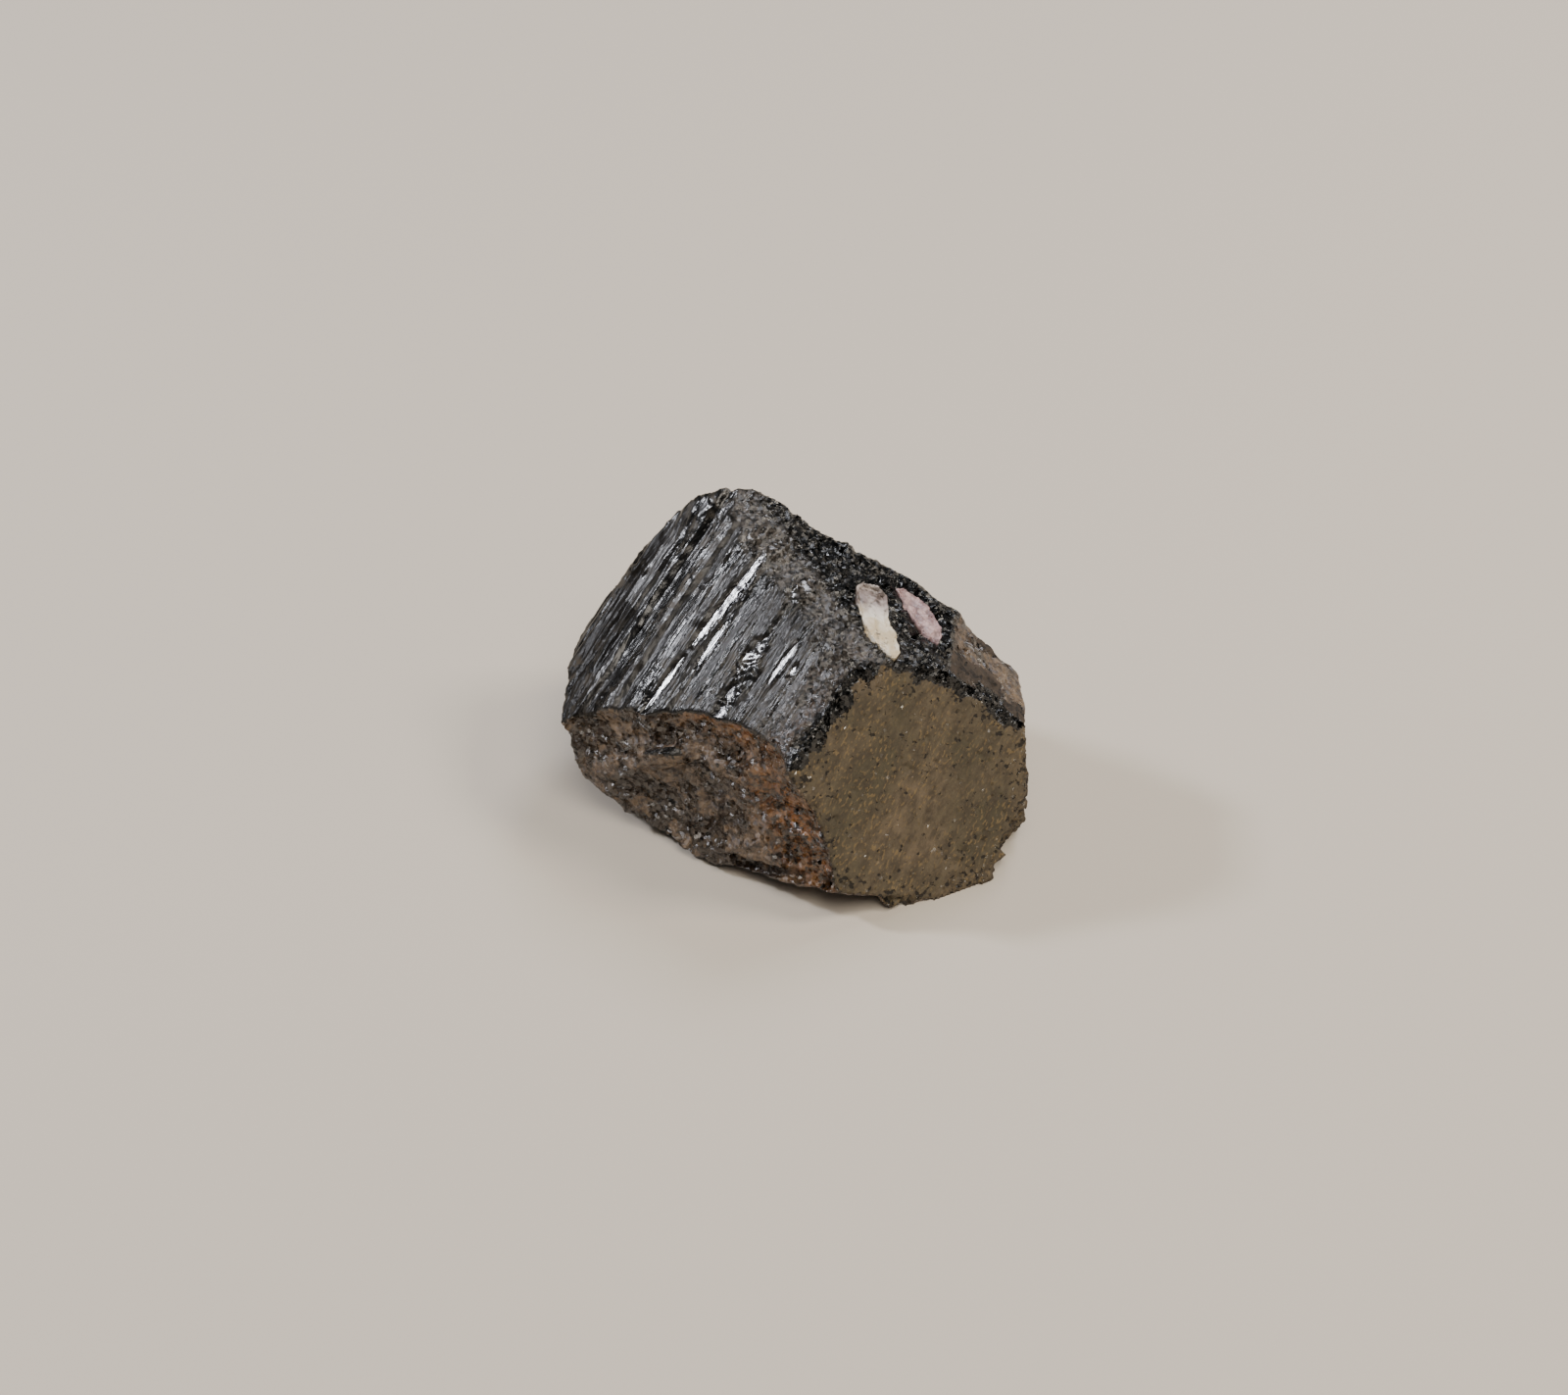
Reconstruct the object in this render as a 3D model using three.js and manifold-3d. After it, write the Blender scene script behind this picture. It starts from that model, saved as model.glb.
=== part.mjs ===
// A loose stibiotantalite crystal, about 35 mm across.
// One grown crystal with a cream feldspar flake and a lilac mica patch set in its top right face.
// Millimetres, +Z up. The crystal rests on a flat spot under it, at z = 0, and the origin is the
// middle of its bottom. The side that shows most faces -Y.

import * as THREE from 'three';
import { mergeVertices } from 'three/addons/utils/BufferGeometryUtils.js';
import Module from 'manifold-3d';

const wasm = await Module();
wasm.setup();

// Driving dimensions

// The point inside the crystal that every face is measured from.
const CORE = [-0.084, -1.293, 10.0];

// The direction the long striations run, as azimuth and elevation in degrees.
// Azimuth 0 is towards the viewer (-Y) and 90 is to the right (+X).
const PRISM_AXIS = { azimuth: -44, elevation: -37 };

// Faces that hold the prism axis, from left to right: the turn in degrees about it, counted from
// the topmost direction towards the left, and how far the face lies from CORE.
const PRISM_FACES = {
  outerLeft: { turn: 58, reach: 16.4 },
  left: { turn: 38, reach: 13.3 },
  upperLeft: { turn: 17, reach: 9.15 },
  brightCrease: { turn: 7, reach: 8.0 },
  front: { turn: -3, reach: 6.9 },
  flatEnd: { turn: -59, reach: 9.15 },
};

// All other faces: the azimuth and elevation of the way they look, and their distance from CORE.
const OTHER_FACES = {
  roughBevel: { azimuth: 36, elevation: 78.5, reach: 8.85 },
  fracture: { azimuth: -31, elevation: 4, reach: 9.05 },
  glitterTop: { azimuth: 91, elevation: 68, reach: 9.45 },
  rightBevel: { azimuth: 86, elevation: 47.5, reach: 11.95 },
  rightSide: { azimuth: 93.5, elevation: 0.5, reach: 17.3 },
  rightUnder: { azimuth: 63.5, elevation: -29.5, reach: 19.5 },
  back: { azimuth: 176, elevation: 14.5, reach: 14.25 },
  backRight: { azimuth: 147, elevation: 17, reach: 11.5 },
  backLeft: { azimuth: -150, elevation: 4, reach: 15.9 },
  backCorner: { azimuth: 125, elevation: -12, reach: 15.6 },
  leftUnder: { azimuth: -104, elevation: -23, reach: 16.45 },
  fractureUnder: { azimuth: -50, elevation: -34, reach: 14.45 },
  frontUnder: { azimuth: -14, elevation: -54, reach: 12.85 },
  backUnder: { azimuth: 150, elevation: -42, reach: 13.2 },
  backLeftUnder: { azimuth: -140, elevation: -42, reach: 14.0 },
  leftOfRest: { azimuth: -95, elevation: -80, reach: 10.5 },
  behindRest: { azimuth: 165, elevation: -80, reach: 11.3 },
  rest: { azimuth: 0, elevation: -90, reach: CORE[2] },
};

const BLOCK = 90; // side of the raw block that the faces are cut from
const PIECE_GAP = 0.3; // clearance between a set-in grain and its pocket

const CRYSTAL_LOOK = { color: 0x2a241f, roughness: 0.42, metalness: 0.0 };
const CREAM_LOOK = { color: 0xd9c9ab, roughness: 0.6, metalness: 0.0 };
const LILAC_LOOK = { color: 0xb9a3ae, roughness: 0.45, metalness: 0.0 };

// Directions and places

function radians(degrees) {
  return THREE.MathUtils.degToRad(degrees);
}

function direction({ azimuth, elevation }) {
  const flat = Math.cos(radians(elevation));
  return new THREE.Vector3(
    flat * Math.sin(radians(azimuth)),
    -flat * Math.cos(radians(azimuth)),
    Math.sin(radians(elevation)),
  );
}

const core = new THREE.Vector3(...CORE);
const prismAxis = direction(PRISM_AXIS);
const topmost = new THREE.Vector3(0, 0, 1).addScaledVector(prismAxis, -prismAxis.z).normalize();
const leftmost = new THREE.Vector3().crossVectors(prismAxis, topmost);

function prismNormal(turn) {
  const angle = radians(turn);
  return topmost.clone().multiplyScalar(Math.cos(angle)).addScaledVector(leftmost, Math.sin(angle));
}

function faceOf(name) {
  if (name in PRISM_FACES) {
    const { turn, reach } = PRISM_FACES[name];
    return { normal: prismNormal(turn), reach };
  }
  return { normal: direction(OTHER_FACES[name]), reach: OTHER_FACES[name].reach };
}

// A frame on a face: x across it and level, y up it, z straight out of it.
function faceFrame(name) {
  const { normal, reach } = faceOf(name);
  const across = new THREE.Vector3(0, 0, 1).cross(normal).normalize();
  const up = new THREE.Vector3().crossVectors(normal, across);
  const frame = new THREE.Matrix4().makeBasis(across, up, normal);
  return frame.setPosition(core.clone().addScaledVector(normal, reach));
}

// A frame on a face that follows the grain of the crystal: x along the prism axis as far as the
// face allows, y across the striations to the right, z straight out of the face.
function grainFrame(name) {
  const { normal, reach } = faceOf(name);
  const along = prismAxis.clone().addScaledVector(normal, -prismAxis.dot(normal)).normalize();
  const across = new THREE.Vector3().crossVectors(normal, along);
  const frame = new THREE.Matrix4().makeBasis(along, across, normal);
  return frame.setPosition(core.clone().addScaledVector(normal, reach));
}

// How far across a prism face, in its grain frame, the crease with another prism face lies.
function creaseAcross(name, neighbour) {
  const turn = radians(PRISM_FACES[neighbour].turn - PRISM_FACES[name].turn);
  return (PRISM_FACES[name].reach * Math.cos(turn) - PRISM_FACES[neighbour].reach) / Math.sin(turn);
}

// Where a thing sits in a frame, how it is turned there in degrees, and its size.
function placing(frame, place, turns, size) {
  const [x, y, z] = turns.map(radians);
  const spot = new THREE.Matrix4().compose(
    new THREE.Vector3(...place),
    new THREE.Quaternion().setFromEuler(new THREE.Euler(x, y, z)),
    new THREE.Vector3(...size),
  );
  return frame.clone().multiply(spot);
}

// Even random numbers between two limits, the same in every run.
function dice(seed) {
  let state = seed;
  return (low, high) => {
    state = (state * 1664525 + 1013904223) % 4294967296;
    return low + (high - low) * (state / 4294967296);
  };
}

// Solids

function solidOf(geometry, matrix) {
  const bare = geometry.index ? geometry.toNonIndexed() : geometry.clone();
  bare.deleteAttribute('normal');
  bare.deleteAttribute('uv');
  bare.applyMatrix4(matrix);
  const merged = mergeVertices(bare, 1e-5);
  return new wasm.Manifold(new wasm.Mesh({
    numProp: 3,
    vertProperties: new Float32Array(merged.attributes.position.array),
    triVerts: new Uint32Array(merged.index.array),
  }));
}

function geometryOf(solid) {
  const mesh = solid.getMesh();
  const geometry = new THREE.BufferGeometry();
  geometry.setAttribute('position', new THREE.BufferAttribute(mesh.vertProperties.slice(), 3));
  geometry.setIndex([...mesh.triVerts]);
  return geometry;
}

function cutAll(solid, cutters) {
  return cutters.reduce((left, cutter) => left.subtract(cutter), solid);
}

function joinAll(solid, lumps) {
  return lumps.reduce((whole, lump) => whole.add(lump), solid);
}

const unitBox = new THREE.BoxGeometry(1, 1, 1);
const unitSpindle = new THREE.OctahedronGeometry(1);
const unitLump = new THREE.IcosahedronGeometry(1, 1);
const unitBowl = new THREE.SphereGeometry(1, 20, 14);

function beyondFace(name) {
  const size = [3 * BLOCK, 3 * BLOCK, 2 * BLOCK];
  return solidOf(unitBox, placing(faceFrame(name), [0, 0, BLOCK], [0, 0, 0], size));
}

// The plain crystal: a block with everything outside each face cut away.
function plainCrystal() {
  const block = solidOf(unitBox, new THREE.Matrix4().makeScale(BLOCK, BLOCK, BLOCK));
  const names = [...Object.keys(PRISM_FACES), ...Object.keys(OTHER_FACES)];
  return cutAll(block, names.map(beyondFace));
}

// Striations: long grooves that fade out at both ends, side by side across a face.
function striations({ face, from, to, pitch, depth, along, length, seed }) {
  const roll = dice(seed);
  const grain = grainFrame(face);
  const grooves = [];
  for (let across = from + pitch / 2; across < to; across += pitch * roll(0.7, 1.3)) {
    const start = along + roll(-3, 3);
    const size = [(length / 2) * roll(0.7, 1.15), pitch * roll(0.28, 0.46), depth * roll(0.6, 1.4)];
    grooves.push(solidOf(unitSpindle, placing(grain, [start, across, 0], [0, 0, roll(-1, 1)], size)));
  }
  return grooves;
}

const STRIATED_BANDS = [
  {
    face: 'outerLeft', from: -9, to: creaseAcross('outerLeft', 'left'),
    pitch: 1.3, depth: 0.35, along: 1, length: 22, seed: 11,
  },
  {
    face: 'left', from: creaseAcross('left', 'outerLeft'), to: creaseAcross('left', 'upperLeft'),
    pitch: 1.1, depth: 0.45, along: 1, length: 26, seed: 12,
  },
  {
    face: 'upperLeft', from: creaseAcross('upperLeft', 'left'), to: creaseAcross('upperLeft', 'brightCrease'),
    pitch: 1.15, depth: 0.5, along: 0, length: 26, seed: 13,
  },
  {
    face: 'front', from: creaseAcross('front', 'brightCrease') + 0.4,
    to: creaseAcross('front', 'flatEnd') - 1,
    pitch: 1.3, depth: 0.34, along: 0, length: 17, seed: 14,
  },
  { face: 'roughBevel', from: -9, to: 5, pitch: 1.8, depth: 0.3, along: -2, length: 7, seed: 15 },
  { face: 'backLeft', from: -7, to: 7, pitch: 2.2, depth: 0.45, along: 0, length: 16, seed: 16 },
];

// Growth steps: a slice taken off along a line that runs with the striations, tilted so that its
// floor is a narrow facet of its own. across is the middle of the slice.
const GROWTH_STEPS = [
  { face: 'upperLeft', across: -8.7, width: 1.7, drop: 0.4, tilt: 9 },
  { face: 'upperLeft', across: -6.1, width: 1.1, drop: 0.35, tilt: 12 },
  { face: 'left', across: -8.2, width: 1.5, drop: 0.4, tilt: 10 },
  { face: 'front', across: -4.5, width: 0.9, drop: 0.3, tilt: 12 },
  { face: 'front', across: -0.9, width: 1.3, drop: 0.34, tilt: 10 },
  { face: 'front', across: 1.2, width: 0.8, drop: 0.3, tilt: 12 },
];

function growthSteps() {
  return GROWTH_STEPS.map(({ face, across, width, drop, tilt }) => {
    const thick = 4;
    const place = [0, across, thick / 2 - drop];
    return solidOf(unitBox, placing(grainFrame(face), place, [tilt, 0, 0], [BLOCK / 2, width, thick]));
  });
}

// The broken lower left side: shallow bowls where the crystal broke like glass, and low ledges.
const FRACTURE_BOWLS = [
  { place: [-1.6, 1.6, 0], radius: [6.4, 3.4], depth: 1.9, turn: 8 },
  { place: [-10.4, -1.4, 0], radius: [4.6, 2.4], depth: 1.0, turn: 30 },
  { place: [4.8, -3.0, 0], radius: [2.7, 6.4], depth: 1.2, turn: 34 },
  { place: [-3.0, -5.2, 0], radius: [8.0, 3.8], depth: 1.0, turn: 24 },
];

const FRACTURE_LEDGES = [
  { place: [-6.4, -1.0, 0], size: [6.4, 1.1], drop: 0.8, turn: 24 },
  { place: [-6.2, -3.9, 0], size: [9.5, 1.2], drop: 0.65, turn: 32 },
  { place: [-5.6, -6.6, 0], size: [8.0, 1.0], drop: 0.6, turn: 30 },
  { place: [4.6, -7.9, 0], size: [8.6, 1.0], drop: 0.7, turn: 10 },
];

function bowlsOn(face, bowls) {
  return bowls.map(({ place, radius, depth, turn }) => {
    const size = [radius[0], radius[1], depth];
    return solidOf(unitBowl, placing(faceFrame(face), place, [0, 0, turn], size));
  });
}

function ledgesOn(face, ledges) {
  const thick = 3;
  const shelfTilt = -14;
  return ledges.map(({ place, size, drop, turn }) => {
    const [x, y, z] = place;
    const middle = [x, y, z + thick / 2 - drop];
    const matrix = placing(faceFrame(face), middle, [shelfTilt, 0, turn], [size[0], size[1], thick]);
    return solidOf(unitBox, matrix);
  });
}

// The hidden side: wide bowls and ledges, so that it is as rough as the broken front.
const BACK_BOWLS = [
  { place: [4.6, 3.4, 0], radius: [6.5, 6.0], depth: 0.9, turn: 15 },
  { place: [3.0, -7.0, 0], radius: [6.0, 4.6], depth: 0.8, turn: -20 },
];

const BACK_RIGHT_BOWLS = [
  { place: [-6.0, -3.6, 0], radius: [8.4, 5.4], depth: 1.0, turn: 28 },
  { place: [6.0, 3.0, 0], radius: [7.6, 5.6], depth: 0.9, turn: -32 },
];

const BACK_LEDGES = [
  { place: [3.4, -1.9, 0], size: [7.0, 1.5], drop: 0.7, turn: -12 },
];

const BACK_RIGHT_LEDGES = [
  { place: [1.6, -5.4, 0], size: [9.5, 1.4], drop: 0.7, turn: 14 },
  { place: [-0.4, 3.6, 0], size: [7.0, 1.3], drop: 0.6, turn: 34 },
];

// Chips and pits: small many-sided bites along a line or scattered over a patch of a face.
function chipsAlong({ face, from, to, count, bite, seed }) {
  const roll = dice(seed);
  const frame = faceFrame(face);
  const chips = [];
  for (let index = 0; index < count; index += 1) {
    const share = (index + roll(0.2, 0.8)) / count;
    const place = [
      THREE.MathUtils.lerp(from[0], to[0], share) + roll(-0.15, 0.15),
      THREE.MathUtils.lerp(from[1], to[1], share) + roll(-0.15, 0.15),
      roll(-0.1, 0.35),
    ];
    const turns = [roll(0, 180), roll(0, 180), roll(0, 180)];
    const size = [bite * roll(0.8, 1.5), bite * roll(0.6, 1.1), bite * roll(0.6, 1.0)];
    chips.push(solidOf(unitSpindle, placing(frame, place, turns, size)));
  }
  return chips;
}

const CHIPPED_EDGES = [
  { face: 'flatEnd', from: [8.6, 2.0], to: [14.4, -4.2], count: 11, bite: 0.62, seed: 21 },
  { face: 'flatEnd', from: [2.0, 4.0], to: [8.0, 2.2], count: 6, bite: 0.5, seed: 22 },
  { face: 'flatEnd', from: [-4.6, -1.6], to: [1.3, 3.9], count: 7, bite: 0.45, seed: 23 },
  { face: 'flatEnd', from: [-4.7, -2.4], to: [-2.4, -11.8], count: 7, bite: 0.5, seed: 24 },
  { face: 'flatEnd', from: [-1.6, -12.8], to: [4.4, -15.0], count: 6, bite: 0.6, seed: 25 },
  { face: 'flatEnd', from: [9.4, -14.6], to: [14.2, -9.0], count: 6, bite: 0.65, seed: 26 },
  { face: 'glitterTop', from: [-3.6, -3.3], to: [11.0, 5.7], count: 8, bite: 0.5, seed: 27 },
  { face: 'backRight', from: [-8.0, 2.2], to: [7.0, 7.6], count: 7, bite: 0.6, seed: 28 },
];

function pitsOver({ face, patch, count, width, depth, seed }) {
  const roll = dice(seed);
  const frame = faceFrame(face);
  const [low, high] = patch;
  return Array.from({ length: count }, () => {
    const place = [roll(low[0], high[0]), roll(low[1], high[1]), 0];
    const size = [width * roll(0.5, 1.3), width * roll(0.5, 1.0), depth * roll(0.6, 1.3)];
    return solidOf(unitSpindle, placing(frame, place, [0, 0, roll(0, 180)], size));
  });
}

const PITTED_PATCHES = [
  { face: 'flatEnd', patch: [[-2, -11], [11, 0]], count: 14, width: 0.4, depth: 0.3, seed: 31 },
  { face: 'glitterTop', patch: [[-3, -7.5], [9, 1]], count: 16, width: 0.8, depth: 0.5, seed: 32 },
  { face: 'rightBevel', patch: [[-1, -11], [4, -6]], count: 7, width: 0.6, depth: 0.35, seed: 33 },
  { face: 'rightSide', patch: [[-5, -8], [1, -1]], count: 8, width: 0.7, depth: 0.4, seed: 34 },
];

// The lumpy foot of the flat end: low rounded lumps along its lower edge.
const FOOT_LUMPS = [[1.6, -13.6], [3.4, -14.2], [5.2, -14.7], [7.0, -14.9], [8.8, -14.6], [10.8, -13.0]];

function footLumps() {
  const roll = dice(41);
  const frame = faceFrame('flatEnd');
  return FOOT_LUMPS.map(([x, y]) => {
    const size = [roll(1.0, 1.5), roll(0.8, 1.2), roll(0.5, 0.8)];
    return solidOf(unitLump, placing(frame, [x, y, -0.55], [0, 0, roll(0, 90)], size));
  });
}

// The step notch at the lower right corner of the flat end.
const CORNER_NOTCH = { place: [12.7, -12.5, 0], turn: 40, size: [3.6, 2.4, 3.4] };

function cornerNotch() {
  const { place, turn, size } = CORNER_NOTCH;
  return solidOf(unitBox, placing(faceFrame('flatEnd'), place, [0, 0, turn], size));
}

// The set-in grains: an outline on the top right face in millimetres across and up that face,
// how far the grain reaches under the face and how far it stands out of it.
const CREAM_FLAKE = {
  outline: [[-3.6, -4.1], [-2.8, -4.5], [-1.8, -4.4], [-0.6, -4.1], [0.5, -3.7], [1.7, -3.8], [3.4, -3.8],
    [4.3, -2.9], [4.1, -1.8], [3.4, -1.3], [2.1, -1.3], [0.4, -1.6], [-0.9, -1.8], [-2.0, -2.4], [-3.1, -3.2]],
  under: 0.9,
  above: 0.35,
};

const LILAC_PATCH = {
  outline: [[-0.4, -7.7], [0.8, -8.2], [2.3, -7.9], [3.5, -7.3], [4.5, -6.3], [5.0, -5.2], [4.7, -4.6],
    [3.4, -5.1], [2.0, -5.7], [0.5, -6.7]],
  under: 0.8,
  above: 0.25,
};

// An outline, counted anticlockwise or clockwise, with every side moved outwards by growth.
function grownOutline(outline, growth) {
  const points = outline.map(([u, v]) => new THREE.Vector2(u, v));
  const side = Math.sign(THREE.ShapeUtils.area(points));
  return points.map((point, index) => {
    const before = points[(index + points.length - 1) % points.length];
    const after = points[(index + 1) % points.length];
    const into = point.clone().sub(before).normalize();
    const out = after.clone().sub(point).normalize();
    const corner = new THREE.Vector2(into.y + out.y, -into.x - out.x).normalize();
    const stretch = growth / Math.max(0.5, corner.dot(new THREE.Vector2(out.y, -out.x)));
    return point.clone().addScaledVector(corner, side * stretch);
  });
}

function grainBody(grain, growth, under, above) {
  const shape = new THREE.Shape(grownOutline(grain.outline, growth));
  const slab = new THREE.ExtrudeGeometry(shape, { depth: under + above, bevelEnabled: false });
  return solidOf(slab, placing(faceFrame('glitterTop'), [0, 0, -under], [0, 0, 0], [1, 1, 1]));
}

function grainSolid(grain) {
  return grainBody(grain, 0, grain.under, grain.above);
}

function grainPocket(grain) {
  return grainBody(grain, PIECE_GAP, grain.under + PIECE_GAP, 6);
}

// The parts

function crystalSolid() {
  const lumpy = joinAll(plainCrystal(), footLumps());
  const cutters = [
    beyondFace('rest'),
    ...STRIATED_BANDS.flatMap(striations),
    ...growthSteps(),
    ...bowlsOn('fracture', FRACTURE_BOWLS),
    ...ledgesOn('fracture', FRACTURE_LEDGES),
    ...bowlsOn('back', BACK_BOWLS),
    ...ledgesOn('back', BACK_LEDGES),
    ...bowlsOn('backRight', BACK_RIGHT_BOWLS),
    ...ledgesOn('backRight', BACK_RIGHT_LEDGES),
    ...CHIPPED_EDGES.flatMap(chipsAlong),
    ...PITTED_PATCHES.flatMap(pitsOver),
    cornerNotch(),
    grainPocket(CREAM_FLAKE),
    grainPocket(LILAC_PATCH),
  ];
  return cutAll(lumpy, cutters);
}

function namedPart(name, solid, look) {
  const part = new THREE.Mesh(geometryOf(solid), new THREE.MeshStandardMaterial(look));
  part.name = name;
  return part;
}

const specimen = new THREE.Group();
specimen.add(namedPart('stibiotantalite_crystal', crystalSolid(), CRYSTAL_LOOK));
specimen.add(namedPart('cream_feldspar_flake', grainSolid(CREAM_FLAKE), CREAM_LOOK));
specimen.add(namedPart('lilac_mica_patch', grainSolid(LILAC_PATCH), LILAC_LOOK));

export default specimen;
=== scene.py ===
import itertools
import math

import bmesh
import bpy
import numpy as np
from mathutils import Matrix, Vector
from mathutils.bvhtree import BVHTree


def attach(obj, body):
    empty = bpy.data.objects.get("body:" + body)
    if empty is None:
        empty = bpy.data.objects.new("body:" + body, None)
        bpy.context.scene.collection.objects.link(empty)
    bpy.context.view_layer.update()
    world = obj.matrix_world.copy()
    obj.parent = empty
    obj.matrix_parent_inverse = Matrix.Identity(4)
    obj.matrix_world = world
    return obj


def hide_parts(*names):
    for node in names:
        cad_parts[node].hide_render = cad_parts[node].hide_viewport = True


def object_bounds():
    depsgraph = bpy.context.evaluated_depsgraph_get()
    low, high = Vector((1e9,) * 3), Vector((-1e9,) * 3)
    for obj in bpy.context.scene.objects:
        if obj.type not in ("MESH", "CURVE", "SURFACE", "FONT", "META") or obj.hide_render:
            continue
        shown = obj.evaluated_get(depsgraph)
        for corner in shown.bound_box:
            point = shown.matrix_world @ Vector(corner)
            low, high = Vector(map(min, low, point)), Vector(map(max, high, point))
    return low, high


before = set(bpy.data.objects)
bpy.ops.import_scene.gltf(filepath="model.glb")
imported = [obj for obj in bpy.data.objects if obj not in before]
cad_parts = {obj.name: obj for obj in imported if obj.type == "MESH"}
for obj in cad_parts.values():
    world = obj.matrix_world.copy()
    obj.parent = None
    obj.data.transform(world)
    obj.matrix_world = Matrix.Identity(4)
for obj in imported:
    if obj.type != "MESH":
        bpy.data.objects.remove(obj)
cad_low, cad_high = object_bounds()
scene = bpy.context.scene
MM = 0.001

# The camera
# It looks down on the crystal from the front, as the photograph does, with the crystal small in
# the frame and the whole of it sharp.
photo_width_px = 1600
photo_focal_px = 2980
camera_elevation = math.radians(42)
camera_distance = 219 * MM
camera_target = Vector((-0.684, -1.293, 10.5)) * MM

camera_data = bpy.data.cameras.new("camera")
camera_data.sensor_width = 36
camera_data.lens = camera_data.sensor_width * photo_focal_px / photo_width_px
camera_data.clip_start = 10 * MM
camera = bpy.data.objects.new("camera", camera_data)
camera_back = Vector((0, -math.cos(camera_elevation), math.sin(camera_elevation)))
camera.location = camera_target + camera_back * camera_distance
camera.rotation_mode = "QUATERNION"
camera.rotation_quaternion = (-camera_back).to_track_quat("-Z", "Y")
scene.collection.objects.link(camera)
scene.camera = camera


# The table and the light
# A plain pale painted board and four soft lamps: a broad one overhead, a small one on the left that
# makes the long white streaks on the striated faces, and two that light the back and the right side.
def linear(hex_colour):
    """An sRGB hex colour as the linear colour that a shader takes."""
    srgb = [int(hex_colour[i:i + 2], 16) / 255 for i in (1, 3, 5)]
    return [c / 12.92 if c <= 0.04045 else ((c + 0.055) / 1.055) ** 2.4 for c in srgb] + [1.0]


def add_node(tree, kind, inputs=None, **settings):
    """A node with its settings. An input is a value, an output, or a node whose first output it takes."""
    node = tree.nodes.new(kind)
    for name, value in settings.items():
        setattr(node, name, value)
    for name, value in (inputs or {}).items():
        if isinstance(name, int):
            socket = node.inputs[name]
        else:
            socket = next(s for s in node.inputs if s.enabled and s.name == name)
        if isinstance(value, bpy.types.Node):
            value = next(s for s in value.outputs if s.enabled)
        if isinstance(value, bpy.types.NodeSocket):
            tree.links.new(value, socket)
        else:
            socket.default_value = value
    return node


def new_material(name):
    """An empty material and its tree."""
    material = bpy.data.materials.new(name)
    material.use_nodes = True
    material.node_tree.nodes.clear()
    return material, material.node_tree


# Painted board: a matte emulsion coat, pale and warm, with no grain of its own.
board_paint, board_tree = new_material("pale_painted_board")
board_spots = add_node(board_tree, "ShaderNodeTexNoise", {"Scale": 9.0, "Detail": 3.0})
board_tone = add_node(board_tree, "ShaderNodeMix", {
    "Factor": board_spots, "A": linear("#cfc5b6"), "B": linear("#d8cfc1")}, data_type="RGBA")
board_shader = add_node(board_tree, "ShaderNodeBsdfPrincipled", {
    "Base Color": board_tone, "Roughness": 0.75, "IOR": 1.45})
add_node(board_tree, "ShaderNodeOutputMaterial", {"Surface": board_shader})

table_size = 3.0
table_mesh = bpy.data.meshes.new("table")
table_half = table_size / 2
table_mesh.from_pydata(
    [(-table_half, -table_half, 0), (table_half, -table_half, 0),
     (table_half, table_half, 0), (-table_half, table_half, 0)], [], [(0, 1, 2, 3)])
table_mesh.materials.append(board_paint)
table = bpy.data.objects.new("table", table_mesh)
scene.collection.objects.link(table)

room = bpy.data.worlds.new("room")
room.use_nodes = True
room.node_tree.nodes["Background"].inputs["Color"].default_value = linear("#c9ccd2")
room.node_tree.nodes["Background"].inputs["Strength"].default_value = 0.12
scene.world = room


def soft_lamp(name, azimuth, elevation, distance, size, power, colour):
    """A square soft lamp that looks at the crystal from an azimuth and elevation in degrees."""
    lamp_data = bpy.data.lights.new(name, "AREA")
    lamp_data.shape = "RECTANGLE"
    lamp_data.size, lamp_data.size_y = size
    lamp_data.energy = power
    lamp_data.color = linear(colour)[:3]
    lamp = bpy.data.objects.new(name, lamp_data)
    turn, rise = math.radians(azimuth), math.radians(elevation)
    back = Vector((math.sin(turn) * math.cos(rise), -math.cos(turn) * math.cos(rise), math.sin(rise)))
    lamp.location = camera_target + back * distance
    lamp.rotation_mode = "QUATERNION"
    lamp.rotation_quaternion = back.to_track_quat("Z", "Y")
    scene.collection.objects.link(lamp)


soft_lamp("front_lamp", 22, 66, 0.8, (0.5, 0.5), 4.2, "#fff6ea")
soft_lamp("back_lamp", 150, 45, 0.7, (0.22, 0.22), 2.0, "#f4f6ff")
soft_lamp("left_lamp", -105, 35, 0.6, (0.055, 0.055), 2.15, "#f6f7ff")
soft_lamp("right_lamp", 92, 45, 0.6, (0.14, 0.14), 1.7, "#fff4e4")


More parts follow.
